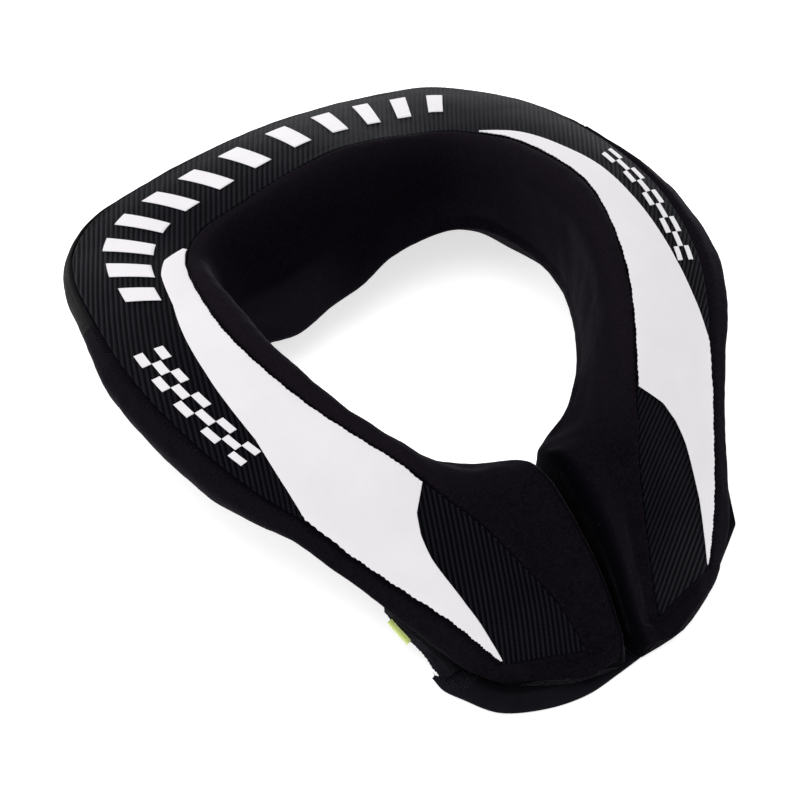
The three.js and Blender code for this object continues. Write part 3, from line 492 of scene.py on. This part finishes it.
def make_strap():
    rows = np.array([[r["ox"], r["oy"], 0.0] for r in STRAP_ROWS])[None], np.array([[r["ix"], r["iy"], 0.0] for r in STRAP_ROWS])[None]
    counts = [22] * (len(STRAP_ROWS) - 1)
    (outer, _), (inner, _) = centripetal(rows[0], counts, False), centripetal(rows[1], counts, False)
    outer, inner = outer[0], inner[0]
    run = np.concatenate([[0], np.cumsum(np.linalg.norm(np.diff(outer, axis=0), axis=1))])
    f = np.concatenate([[0, 0.01, 0.025, 0.05], np.linspace(0.08, 1, 26)])
    flat = outer[:, None] + (inner - outer)[:, None] * f[None, :, None]
    across = f[None, :] * np.linalg.norm(inner - outer, axis=1)[:, None]
    # the cut free end: ragged, pulled back a little between the hooks
    ragged = (np.sin(across * 2.9) + 0.6 * np.sin(across * 7.1 + 1) + 0.5 * np.sin(across * 13.0))[:1] * 0.6 - 1.2
    end = np.exp(-run / 2.2)[:, None]
    tangent = np.gradient(outer, axis=0)
    tangent /= np.linalg.norm(tangent, axis=1, keepdims=True)
    flat = flat + tangent[:, None] * (end * ragged)[:, :, None]
    lip = np.exp(-across / 1.1)
    wave = 0.35 * np.exp(-across / 7) * (1 + np.sin(run / 13)[:, None]) * smoothstep(run, 2, 14)[:, None]
    curl = 1.5 * np.exp(-run / 6)[:, None] * np.exp(-across / 14)
    stitch = 0.22 * np.exp(-((across - 2.6) / 0.4) ** 2) * (0.65 + 0.35 * np.cos(2 * np.pi * run / STITCH)[:, None])
    top = flat.copy()
    top[:, :, 2] = FLOOR + STRAP - 0.9 * lip - stitch + wave + curl - 0.25 - 0.9 * np.exp(-run / 0.8)[:, None]
    low = flat.copy()
    low[:, :, 2] = FLOOR + 0.75 * lip + wave * 0.8 + curl * 0.9
    low[:, :, 2] = np.minimum(low[:, :, 2], top[:, :, 2] - 0.35)
    under = smoothstep(across, 9, 13)   # below the lobes it lies flat
    top[:, :, 2] = lerp(top[:, :, 2], FLOOR + STRAP, under)
    low[:, :, 2] = lerp(low[:, :, 2], FLOOR, under)
    obj = tube("hook_strap", sheet_rings(top, low), caps="strip")
    hook = np.exp(-(run / 17) ** 4)[:, None] * np.ones_like(across)
    values(obj, "hook", np.concatenate([hook, hook[:, ::-1]], 1))
    values(obj, "run", np.concatenate([run[:, None] + 0 * across] * 2, 1))
    values(obj, "across", np.concatenate([across, across[:, ::-1]], 1))
    # short bristles of the hook tape, standing out of the free end in slanting rows
    verts, faces = [], []
    i_of = lambda d: int(np.searchsorted(run, d))
    for k in range(210):
        d, a = 0.3 + 13.5 * (k % 15) / 15 + rng.uniform(-0.3, 0.3), 0.8 + 12 * (k // 15) / 14 + rng.uniform(-0.4, 0.4)
        i = i_of(d)
        j = int(np.searchsorted(across[i], a))
        base = top[i, min(j, top.shape[1] - 1)]
        lean = -tangent[i] * rng.uniform(0.5, 1.1) + np.array([rng.uniform(-0.2, 0.2), rng.uniform(-0.2, 0.2), rng.uniform(0.35, 0.8)])
        side = np.cross(lean, [0, 0, 1.0])
        side /= max(np.linalg.norm(side), 1e-6)
        other = np.cross(side, lean)
        other /= np.linalg.norm(other)
        height, start = rng.uniform(0.9, 1.7), len(verts)
        for step_, (h, r) in enumerate(((-0.25, 0.13), (0.35, 0.12), (0.75, 0.09), (1.0, 0.05))):
            c = base + lean * h * height + np.array([0, 0, -0.35]) * max(h, 0) ** 2
            for m in range(4):
                ang = m * math.pi / 2
                verts.append(c + r * (side * math.cos(ang) + other * math.sin(ang)))
        faces += ring_faces(4, 4, start).tolist()
        faces += [[start + 3, start + 2, start + 1, start], [start + 12, start + 13, start + 14, start + 15]]
    bristles = piece_mixed("hook_bristles", np.array(verts), faces)
    return obj, bristles, float(run[-1])


def make_patch():
    up = np.array([[r["ux"], r["uy"], r["uz"]] for r in PATCH_ROWS])[None]
    down = np.array([[r["dx"], r["dy"], r["dz"]] for r in PATCH_ROWS])[None]
    counts = [18] * (len(PATCH_ROWS) - 1)
    up[:, :5] += np.array([0.9, 0.5, 3.6])      # tucked up under the fleece
    up[:, 5:] += np.array([[3.4, 1.2, 3.4], [5.0, 1.2, 1.2]])
    u, d = centripetal(up, counts, False)[0][0], centripetal(down, counts, False)[0][0]
    run = np.concatenate([[0], np.cumsum(np.linalg.norm(np.diff(u, axis=0), axis=1))])
    f = np.linspace(0, 1, 30)
    inwards = np.array([0.74, 0.42, -0.52])
    flat = u[:, None] + (d - u)[:, None] * f[None, :, None]
    q = flat.reshape(-1, 3)
    rough = (0.14 * waves(2.1)(q) + 0.10 * waves(4.5)(q)).reshape(flat.shape[:2])
    edge = np.minimum(f, 1 - f)[None, :] * np.linalg.norm(d - u, axis=1)[:, None]
    sink = 0.7 * np.exp(-edge / 0.5) + 0.25 * np.exp(-((edge - 1.6) / 0.35) ** 2) - rough
    away = (d - u) / np.linalg.norm(d - u, axis=1, keepdims=True)
    frayed = away * (0.14 * np.sin(run * 3.1) + 0.09 * np.sin(run * 7.7))[:, None]
    fray = frayed[:, None] * (f[None, :, None] ** 6) * smoothstep(run, 0, 10)[:, None, None]
    top = flat + inwards * np.clip(sink, -0.35, 1.0)[:, :, None] + fray
    low = flat[:, ::5] + inwards * PATCH
    obj = tube("loop_strip", sheet_rings(top, low))
    shade = (1 - smoothstep(f, 0.30, 0.55))[None, :] * np.ones((len(run), 1))
    values(obj, "shade", np.concatenate([shade, np.ones((len(run), low.shape[1]))], 1))
    return obj, float(run[-1])


def make_tab():
    centre, length, out, thick = np.array([-79.6, -30.1, -45.1]), 12.2, 2.3, 1.8
    along = np.array([0.33, -0.74, -0.59])
    along /= np.linalg.norm(along)
    outw = np.array([-0.87, -0.5, 0.0])
    outw -= along * outw.dot(along)
    outw /= np.linalg.norm(outw)
    flatw = np.cross(along, outw)
    ang = np.linspace(-math.pi / 2, math.pi / 2, 15)
    r, wall = thick / 2, 0.5
    outside = [(x, -r) for x in np.linspace(0, out - r, 8)[:-1]] + [(out - r + r * math.cos(a), r * math.sin(a)) for a in ang] + [(x, r) for x in np.linspace(out - r, 0, 8)[1:]]
    ri = r - wall
    inside = [(x, -ri) for x in np.linspace(0, out - r, 8)[:-1]] + [(out - r + ri * math.cos(a), ri * math.sin(a)) for a in ang] + [(x, ri) for x in np.linspace(out - r, 0, 8)[1:]]
    prof = np.array(outside + inside[::-1])
    rings = []
    for w in np.linspace(0, 1, 66):
        z = (w - 0.5) * (length - 0.3)
        ridge = 0.16 * math.cos(w * 2 * math.pi * 21)
        pinch = 1 - 0.22 * math.exp(-((w - 0.12) / 0.05) ** 2)
        selvedge = 1 - 0.25 * math.exp(-min(w, 1 - w) / 0.02)
        p = centre + outw * (GAP + prof[:, :1] * (0.98 + 0.02 * ridge)) * 1.0 + flatw * (prof[:, 1:] * pinch * selvedge + 0.10 * math.sin(w * 5)) + along * z
        p = p + outw * (0.10 * ridge * (prof[:, :1] > out - r))
        rings.append(p)
    return tube("ribbon_loop", np.array(rings), caps="strip")


# ---- plain printed marks: a row of slanted blocks round the back, a strip of small checks on each side
BLOCKS = table("""
at      wide  low   high  slant
-5.75   0.40  0.36  0.66  0.10
-4.95   0.46  0.31  0.69  0.14
-4.05   0.44  0.28  0.72  0.16
-3.20   0.36  0.27  0.73  0.15
-2.40   0.34  0.27  0.73  0.14
-1.62   0.32  0.27  0.73  0.13
-0.86   0.32  0.27  0.73  0.12
-0.10   0.32  0.27  0.73  0.12
0.66    0.32  0.27  0.73  0.12
1.42    0.32  0.27  0.73  0.13
2.20    0.34  0.29  0.71  0.14
3.00    0.36  0.32  0.68  0.14
""")
CHECKS = table("""
side  first  step   low   high  lean
-1    7.05   0.262  0.58  0.86  0.10
1     6.85   0.262  0.58  0.86  0.10
""")


def marks():
    spans = []
    for b in BLOCKS:
        spans.append((b["at"] - b["wide"] / 2, b["at"] + b["wide"] / 2, b["low"], b["high"], b["slant"]))
    for c in CHECKS:
        rows = 3
        for k in range(9):
            for r in range(rows):
                if (k + r) % 2:
                    continue
                grow = c["lean"] * k / 9
                t0 = lerp(c["low"] + grow, c["high"] + 0.3 * grow, r / rows)
                t1 = lerp(c["low"] + grow, c["high"] + 0.3 * grow, (r + 1) / rows)
                u0 = c["side"] * (c["first"] + c["step"] * k)
                spans.append((u0, u0 + c["side"] * c["step"], t0 + 0.004, t1 - 0.004, 0.0))
    verts, faces = [], []
    for u0, u1, t0, t1, slant in spans:
        nu, nt = 14, 14
        f = np.linspace(0, 1, nu)
        grids = []
        for lift in (0.34, 0.10):
            ring = []
            for g in np.linspace(0, 1, nt):
                u = lerp(u0, u1, f) + slant * (g - 0.5)
                ring.append(top_point(sections(u), lerp(t0, t1, g), lift)[:, 0])
            grids.append(np.array(ring))
        rings = sheet_rings(grids[0], grids[1])
        start, m = len(verts), 2 * nu
        verts += rings.reshape(-1, 3).tolist()
        part = ring_faces(nt, m, start).tolist()
        for r, flip in ((0, True), (nt - 1, False)):
            for j in range(nu - 1):
                quad = [start + r * m + j, start + r * m + j + 1, start + r * m + m - 2 - j, start + r * m + m - 1 - j]
                part.append(quad[::-1] if flip else quad)
        v = np.array(verts)
        first = np.array([q[:3] for q in part])
        second = np.array([[q[0], q[2], q[3]] for q in part])
        centre = v[start:].mean(0)
        vol = sum(np.einsum("ij,ij->", v[k[:, 0]] - centre, np.cross(v[k[:, 1]] - centre, v[k[:, 2]] - centre)) for k in (first, second))
        faces += [q[::-1] for q in part] if vol < 0 else part
    mesh = bpy.data.meshes.new("printed_marks")
    mesh.from_pydata(((np.array(verts) - CENTRE) / 1000).tolist(), [], faces)
    mesh.polygons.foreach_set("use_smooth", np.ones(len(mesh.polygons), bool))
    mesh.update()
    obj = bpy.data.objects.new("printed_marks", mesh)
    bpy.context.scene.collection.objects.link(obj)
    return obj


# ---- materials
class Shade:
    def __init__(self, name, roughness, specular, sheen=0.0, sheen_rough=0.4, tint=(1, 1, 1)):
        self.m = bpy.data.materials.new(name)
        self.m.use_nodes = True
        self.t = self.m.node_tree
        self.b = self.t.nodes["Principled BSDF"]
        self.b.inputs["Roughness"].default_value = roughness
        self.b.inputs["Specular IOR Level"].default_value = specular
        self.b.inputs["Sheen Weight"].default_value = sheen
        self.b.inputs["Sheen Roughness"].default_value = sheen_rough
        self.b.inputs["Sheen Tint"].default_value = (*tint, 1)
        self.coord = self.t.nodes.new("ShaderNodeTexCoord").outputs["Object"]

    def put(self, node, socket, value):
        if hasattr(value, "links") or isinstance(value, bpy.types.NodeSocket):
            self.t.links.new(value, node.inputs[socket])
        else:
            node.inputs[socket].default_value = value

    def math(self, op, a, b=0.0, c=0.0, clamp=False):
        n = self.t.nodes.new("ShaderNodeMath")
        n.operation, n.use_clamp = op, clamp
        for k, v in enumerate((a, b, c)):
            self.put(n, k, v)
        return n.outputs[0]

    def noise(self, size, detail=3.0, rough=0.55):
        n = self.t.nodes.new("ShaderNodeTexNoise")
        self.put(n, "Vector", self.coord)
        self.put(n, "Scale", 1000.0 / size)
        self.put(n, "Detail", detail)
        self.put(n, "Roughness", rough)
        return n.outputs["Fac"]

    def cells(self, size):
        n = self.t.nodes.new("ShaderNodeTexVoronoi")
        self.put(n, "Vector", self.coord)
        self.put(n, "Scale", 1000.0 / size)
        return n.outputs["Distance"], n.outputs["Color"]

    def attribute(self, name):
        n = self.t.nodes.new("ShaderNodeAttribute")
        n.attribute_name = name
        return n.outputs["Fac"]

    def span(self, value, lo, hi, out_lo=0.0, out_hi=1.0):
        n = self.t.nodes.new("ShaderNodeMapRange")
        self.put(n, "Value", value)
        for k, v in (("From Min", lo), ("From Max", hi), ("To Min", out_lo), ("To Max", out_hi)):
            n.inputs[k].default_value = v
        return n.outputs["Result"]

    def mix(self, f, a, b):
        n = self.t.nodes.new("ShaderNodeMix")
        n.data_type = "RGBA"
        self.put(n, 0, f)
        for k, v in ((6, a), (7, b)):
            if isinstance(v, tuple):
                n.inputs[k].default_value = (*v, 1)
            else:
                self.t.links.new(v, n.inputs[k])
        return n.outputs[2]

    def colour(self, socket):
        self.t.links.new(socket, self.b.inputs["Base Color"])

    def rough(self, socket):
        self.t.links.new(socket, self.b.inputs["Roughness"])

    def bump(self, height, depth, strength=1.0):
        n = self.t.nodes.new("ShaderNodeBump")
        n.inputs["Distance"].default_value = depth / 1000
        n.inputs["Strength"].default_value = strength
        self.t.links.new(height, n.inputs["Height"])
        self.t.links.new(n.outputs[0], self.b.inputs["Normal"])


def fleece_material():
    s = Shade("fleece_cloth", 0.95, 0.012, sheen=0.060, sheen_rough=0.26, tint=(0.94, 0.87, 1.0))
    nap, blotch, fine = s.noise(1.1, 5), s.noise(9.0, 4), s.noise(0.45, 3)
    col = s.mix(s.span(blotch, 0.3, 0.7), (0.0024, 0.0017, 0.0033), (0.0038, 0.0028, 0.0050))
    col = s.mix(s.math("MULTIPLY", s.span(s.noise(3.2, 4), 0.42, 0.68), 0.55), col, (0.0013, 0.0010, 0.0020))
    col = s.mix(s.span(nap, 0.35, 0.75), col, (0.0062, 0.0047, 0.0074))
    # painted shade: near-black fleece in the creases, hollows and slit
    col = s.mix(s.attribute("painted_shade"), col, (0.0008, 0.0006, 0.0014))
    # painted light: lighter fleece where light falls on the lip, crest and outer walls
    col = s.mix(s.math("MULTIPLY", s.attribute("painted_light"), s.span(nap, 0.2, 0.7, 0.55, 1.0)), col, (0.0098, 0.0076, 0.0112))
    col = s.mix(s.math("MULTIPLY", s.attribute("rim"), s.span(nap, 0.40, 0.66), clamp=True), col, (0.0082, 0.0058, 0.0072))
    stitched = s.math("MULTIPLY", s.attribute("border"), s.span(s.math("SINE", s.math("MULTIPLY", s.attribute("run"), 2 * math.pi)), 0.1, 1.0), clamp=True)
    col = s.mix(s.math("MULTIPLY", stitched, 0.35), col, (0.0012, 0.0010, 0.0016))
    far, tone = s.cells(3.4)
    keep = s.t.nodes.new("ShaderNodeSeparateColor")
    s.put(keep, 0, tone)
    speck = s.math("MULTIPLY", s.span(far, 0.085, 0.04), s.math("GREATER_THAN", keep.outputs[0], 0.72), clamp=True)
    col = s.mix(s.math("MULTIPLY", speck, 0.5), col, (0.034, 0.029, 0.034))
    s.colour(col)
    s.bump(s.math("ADD", s.math("MULTIPLY", nap, 0.7), s.math("ADD", s.math("MULTIPLY", fine, 0.3), s.math("MULTIPLY", stitched, -0.4))), 0.55, 0.8)
    return s.m


def rib_material():
    s = Shade("ribbed_cloth", 0.60, 0.02, sheen=0.062, sheen_rough=0.34, tint=(0.88, 0.90, 1.0))
    turn = s.math("MULTIPLY", s.attribute("rib"), 2 * math.pi)
    ridge = s.span(s.math("COSINE", turn), -1, 1)
    twist = s.span(s.math("SINE", s.math("ADD", s.math("MULTIPLY", s.attribute("twist"), 2 * math.pi), turn)), -1, 1)
    wear = s.noise(14.0, 4)
    yarn = s.noise(0.7, 3)
    # painted shade and light: the base colour runs from near black in the grooves between the ribs to light on the rib
    # tops; the twisted-yarn lines over it are the cloth's own pattern
    yarn_twist_and_groove_shade = s.math("MULTIPLY", s.math("POWER", ridge, 1.5), s.math("ADD", s.math("MULTIPLY", twist, 0.42), 0.58))
    col = s.mix(s.math("MULTIPLY", yarn_twist_and_groove_shade, s.span(wear, 0.25, 0.75, 0.75, 1.1), clamp=True), (0.0005, 0.0005, 0.0012), (0.0100, 0.0096, 0.0142))
    col = s.mix(s.math("MULTIPLY", s.span(yarn, 0.55, 0.8), 0.35), col, (0.0050, 0.0048, 0.0064))
    s.colour(col)
    s.bump(s.math("ADD", s.math("MULTIPLY", ridge, 0.55), s.math("ADD", s.math("MULTIPLY", s.math("MULTIPLY", twist, ridge), 0.18), s.math("MULTIPLY", yarn, 0.15))), 0.55, 0.9)
    return s.m


def film_material(name="smooth_white", printed=False):
    s = Shade(name, 0.46, 0.30, sheen=0.0)
    weave, blotch = s.noise(0.5, 3), s.noise(16.0, 3)
    col = s.mix(s.span(blotch, 0.3, 0.7), (0.700, 0.678, 0.706), (0.728, 0.706, 0.732))
    col = s.mix(s.math("MULTIPLY", s.span(weave, 0.5, 0.75), 0.12), col, (0.64, 0.62, 0.66))
    s.colour(col)
    s.rough(s.span(blotch, 0.2, 0.8, 0.40, 0.55))
    if printed:
        s.bump(weave, 0.08, 0.5)
    else:
        ghost = s.span(s.math("COSINE", s.math("MULTIPLY", s.attribute("rib"), 2 * math.pi)), -1, 1)
        s.bump(s.math("ADD", s.math("MULTIPLY", ghost, 0.45), s.math("MULTIPLY", weave, 0.35)), 0.06, 0.6)
    return s.m


def rear_material():
    s = Shade("rear_cloth", 0.85, 0.02, sheen=0.05, sheen_rough=0.35, tint=(0.97, 1.0, 0.96))
    felt, blotch, fine = s.noise(0.9, 4), s.noise(11.0, 4), s.noise(0.4, 2)
    col = s.mix(s.span(blotch, 0.3, 0.7), (0.0040, 0.0039, 0.0042), (0.0062, 0.0060, 0.0064))
    col = s.mix(s.span(felt, 0.4, 0.75), col, (0.0085, 0.0082, 0.0086))
    far, tone = s.cells(6.0)
    keep = s.t.nodes.new("ShaderNodeSeparateColor")
    s.put(keep, 0, tone)
    speck = s.math("MULTIPLY", s.span(far, 0.08, 0.03), s.math("GREATER_THAN", keep.outputs[0], 0.85), clamp=True)
    s.colour(s.mix(s.math("MULTIPLY", speck, 0.6), col, (0.07, 0.065, 0.07)))
    s.bump(s.math("ADD", s.math("MULTIPLY", felt, 0.6), s.math("MULTIPLY", fine, 0.4)), 0.4, 0.8)
    return s.m


def strap_material():
    s = Shade("strap_cloth", 0.60, 0.03, sheen=0.03, sheen_rough=0.35, tint=(0.85, 0.88, 1.0))
    knit, blotch = s.noise(0.6, 3), s.noise(8.0, 4)
    line = s.math("SINE", s.math("MULTIPLY", s.attribute("across"), 2 * math.pi / 0.9))
    col = s.mix(s.span(blotch, 0.3, 0.7), (0.0036, 0.0034, 0.0056), (0.0056, 0.0052, 0.0080))
    col = s.mix(s.math("MULTIPLY", s.span(knit, 0.45, 0.7), 0.6), col, (0.0076, 0.0072, 0.0106))
    rows = s.math("SINE", s.math("MULTIPLY", s.math("ADD", s.attribute("run"), s.math("MULTIPLY", s.attribute("across"), 0.8)), 2 * math.pi / 1.5))
    col = s.mix(s.span(s.attribute("across"), 8.2, 10.4, 0.0, 0.85), col, (0.0012, 0.0011, 0.0018))   # painted shade where the strap runs under the lobes
    hooks = s.math("MULTIPLY", s.attribute("hook"), s.span(rows, 0.0, 0.9), clamp=True)
    s.colour(s.mix(s.math("MULTIPLY", hooks, 0.45), col, (0.022, 0.022, 0.030)))
    s.bump(s.math("ADD", s.math("MULTIPLY", knit, 0.5), s.math("ADD", s.math("MULTIPLY", line, 0.12), s.math("MULTIPLY", hooks, 0.8))), 0.35, 0.8)
    return s.m


def loop_material(name, dark, light, speckle):
    s = Shade(name, 0.75, 0.03, sheen=0.03, sheen_rough=0.35, tint=(0.9, 0.9, 1.0))
    loops, blotch = s.noise(0.55, 4), s.noise(4.0, 3)
    col = s.mix(s.span(blotch, 0.3, 0.7), dark, light)
    col = s.mix(s.math("MULTIPLY", s.span(loops, 0.55, 0.78), speckle), col, (0.062, 0.060, 0.070))
    s.colour(s.mix(s.math("MULTIPLY", s.attribute("shade"), 0.8), col, (0.0014, 0.0012, 0.0020)))
    s.bump(loops, 0.6, 0.9)
    return s.m


def ribbon_material():
    s = Shade("lime_ribbon", 0.55, 0.3, sheen=0.1, tint=(0.9, 1.0, 0.7))
    weave, fade = s.noise(0.45, 3), s.noise(5.0, 2)
    wave = s.t.nodes.new("ShaderNodeTexWave")
    s.put(wave, "Vector", s.coord)
    wave.inputs["Scale"].default_value = 520.0
    wave.inputs["Distortion"].default_value = 0.6
    col = s.mix(s.span(fade, 0.3, 0.7), (0.50, 0.62, 0.17), (0.60, 0.70, 0.26))
    col = s.mix(s.math("MULTIPLY", wave.outputs["Fac"], 0.25), col, (0.36, 0.48, 0.09))
    s.colour(s.mix(s.math("MULTIPLY", s.span(weave, 0.5, 0.8), 0.3), col, (0.75, 0.80, 0.45)))
    s.bump(s.math("ADD", wave.outputs["Fac"], weave), 0.12, 0.7)
    return s.m


# ---- pieces
body = make_body()
panel = make_panel()
left, right = make_film(-1), make_film(1)
band = make_band()
strap, bristles, strap_length = make_strap()
patch, patch_length = make_patch()
tab = make_tab()
prints = marks()

white = film_material()
strap_look = strap_material()
for obj, node, slot, look in (
        (body, "collar_body", "fleece", fleece_material()),
        (panel, "top_panel", "rib_cloth", rib_material()),
        (left, "film_panel_left", "smooth_film", white),
        (right, "film_panel_right", "smooth_film", white),
        (band, "rear_wall_band", "rear_cloth", rear_material()),
        (strap, "closure_strap", "hook_loop", strap_look),
        (bristles, None, "hook_loop", loop_material("hook_bristle", (0.012, 0.012, 0.017), (0.030, 0.030, 0.040), 0.6)),
        (patch, "loop_patch", "hook_loop", loop_material("loop_pile", (0.0055, 0.0052, 0.0074), (0.0095, 0.0090, 0.0122), 0.35)),
        (tab, "side_tab", "lime_ribbon", ribbon_material()),
        (prints, None, "smooth_film", film_material("printed_white", True))):
    obj.data.materials.append(look)
    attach(obj, "root")
    if node:
        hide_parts(node)

# ---- floor, light and camera
floor_mesh = bpy.data.meshes.new("floor")
rings_ = np.array([[(r * math.cos(a), r * math.sin(a), 0.0) for a in np.linspace(0, 2 * math.pi, 64, endpoint=False)] for r in (0.0005, 0.5, 2, 6)])
floor_mesh.from_pydata((rings_.reshape(-1, 3) + [0, 0, -0.0004]).tolist(), [], ring_faces(4, 64).tolist() + [list(range(64))])
floor = bpy.data.objects.new("floor", floor_mesh)
bpy.context.scene.collection.objects.link(floor)
ground = Shade("pale_floor", 0.95, 0.0)
ground.b.inputs["Emission Color"].default_value = (1.0, 1.0, 1.0, 1)
ground.b.inputs["Emission Strength"].default_value = 0.66
ground.colour(ground.mix(ground.span(ground.noise(300.0, 2), 0.3, 0.7), (0.93, 0.93, 0.935), (0.95, 0.95, 0.953)))
floor_mesh.materials.append(ground.m)

world = bpy.data.worlds.new("studio")
bpy.context.scene.world = world
world.use_nodes = True
world.node_tree.nodes["Background"].inputs["Color"].default_value = (1.0, 1.0, 1.0, 1)
world.node_tree.nodes["Background"].inputs["Strength"].default_value = 0.76


def soft_light(name, place, target, size, energy):
    data = bpy.data.lights.new(name, "AREA")
    data.size, data.energy = size, energy
    data.shape = "DISK"
    obj = bpy.data.objects.new(name, data)
    obj.location = place
    obj.rotation_euler = (Vector(target) - Vector(place)).to_track_quat("-Z", "Y").to_euler()
    bpy.context.scene.collection.objects.link(obj)


soft_light("back_softbox", (-0.25, 1.5, 1.5), (0, 0.02, 0.05), 1.3, 10.0)
soft_light("top_softbox", (-0.5, -0.2, 1.9), (0, 0, 0.05), 1.4, 11.5)

AZIMUTH, ELEVATION = math.radians(-30.182), math.radians(48)
camera = bpy.data.objects.new("camera", bpy.data.cameras.new("camera"))
camera.data.sensor_width, camera.data.lens = 36.0, 145.13
camera.data.clip_end = 50
camera.location = (-0.48743, -0.80792, 1.05567)
look_back = Vector((math.sin(AZIMUTH) * math.cos(ELEVATION), -math.cos(AZIMUTH) * math.cos(ELEVATION), math.sin(ELEVATION)))
camera.rotation_euler = (-look_back).to_track_quat("-Z", "Y").to_euler()
bpy.context.scene.collection.objects.link(camera)
bpy.context.scene.camera = camera
bpy.context.scene.view_settings.view_transform = "Standard"
